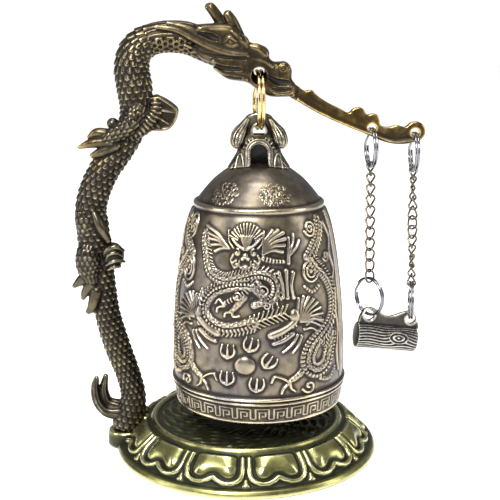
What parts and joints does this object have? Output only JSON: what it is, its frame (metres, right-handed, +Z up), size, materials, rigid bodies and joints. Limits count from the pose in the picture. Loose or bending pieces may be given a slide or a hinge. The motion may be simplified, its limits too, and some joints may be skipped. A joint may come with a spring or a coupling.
{
  "type": "temple bell",
  "caption": "Small cast bell hung by a split ring from an arched dragon stand on a round lotus base, with a log-shaped striker on chains.",
  "frame": {"origin": "centre of the round base's underside, on the surface it stands on", "axes": "+Z up, the dragon stand rises at -X and its tongue and the striker reach to +X, the pictured front faces -Y"},
  "size_m": [0.0978, 0.074, 0.1244],
  "materials": {
    "base_brass": "antique brass plating on a casting: dark olive-brown recesses, bare yellow brass on the raised petals",
    "stand_bronze": "antique bronze plating on a casting: near-black recesses, rubbed bronze on scales, horns and tongue",
    "bell_metal": "warm nickel-brass plating, brushed on the dome, dark grey-brown behind the relief",
    "crown_silver": "antique silver plating with black recesses",
    "ring_gold": "bright pale gold plating",
    "ring_nickel": "bright nickel plating",
    "chain_nickel": "nickel plating gone warm grey",
    "striker_iron": "antique silver plating, nearly black in the wood grain's grooves",
    "screw_steel": "plain zinc-plated steel"
  },
  "bodies": {
    "stand": {"base_dais": "base_brass", "dragon_stand": "stand_bronze", "stand_screw": "screw_steel", "stand_washer": "screw_steel"},
    "bell_ring": {"bell_ring": "ring_gold"},
    "bell": {"bell_body": "bell_metal", "bell_crown": "crown_silver", "crown_screw": "screw_steel", "crown_washer": "screw_steel"},
    "left_top_ring": {"left_top_ring": "ring_nickel"},
    "left_chain": {"left_link_01": "chain_nickel", "left_link_02": "chain_nickel", "left_link_03": "chain_nickel", "left_link_04": "chain_nickel", "left_link_05": "chain_nickel", "left_link_06": "chain_nickel", "left_link_07": "chain_nickel", "left_link_08": "chain_nickel", "left_link_09": "chain_nickel", "left_link_10": "chain_nickel", "left_link_11": "chain_nickel", "left_bottom_ring": "ring_nickel"},
    "striker": {"striker": "striker_iron"},
    "right_top_ring": {"right_top_ring": "ring_nickel"},
    "right_chain": {"right_link_01": "chain_nickel", "right_link_02": "chain_nickel", "right_link_03": "chain_nickel", "right_link_04": "chain_nickel", "right_link_05": "chain_nickel", "right_link_06": "chain_nickel", "right_link_07": "chain_nickel", "right_link_08": "chain_nickel", "right_link_09": "chain_nickel", "right_link_10": "chain_nickel", "right_link_11": "chain_nickel", "right_link_12": "chain_nickel", "right_bottom_ring": "ring_nickel"}
  },
  "joints": [
    {"name": "bell_sway", "type": "hinge", "parent": "stand", "child": "bell_ring", "pos_m": [0.0035, 0, 0.1064], "axis": [1, 0, 0], "range_deg": [-6, 6]},
    {"name": "bell_swing", "type": "hinge", "parent": "bell_ring", "child": "bell", "pos_m": [0.0035, 0, 0.0911], "axis": [0, 1, 0], "range_deg": [0, 6]},
    {"name": "striker_sway", "type": "hinge", "parent": "stand", "child": "left_top_ring", "pos_m": [0.0341, 0, 0.09105], "axis": [0.9948, 0, -0.102], "range_deg": [-8, 8]},
    {"name": "striker_swing", "type": "hinge", "parent": "left_top_ring", "child": "left_chain", "pos_m": [0.0341, 0, 0.08065], "axis": [0, -1, 0], "range_deg": [-3, 30]},
    {"name": "striker_level", "type": "hinge", "parent": "left_chain", "child": "striker", "pos_m": [0.0345, -0.001, 0.03905], "axis": [0, -1, 0], "range_deg": [-30, 3]},
    {"name": "right_ring_sway", "type": "hinge", "parent": "stand", "child": "right_top_ring", "pos_m": [0.0458, 0, 0.08985], "axis": [0.9948, 0, -0.102], "range_deg": [-8, 8]},
    {"name": "right_chain_swing", "type": "hinge", "parent": "right_top_ring", "child": "right_chain", "pos_m": [0.0458, 0, 0.07945], "axis": [0, -1, 0], "range_deg": [-3, 30]}
  ],
  "couplings": [
    {"joint": "striker_level", "follows": "striker_swing", "ratio": -1},
    {"joint": "right_ring_sway", "follows": "striker_sway", "ratio": 1},
    {"joint": "right_chain_swing", "follows": "striker_swing", "ratio": 1}
  ]
}
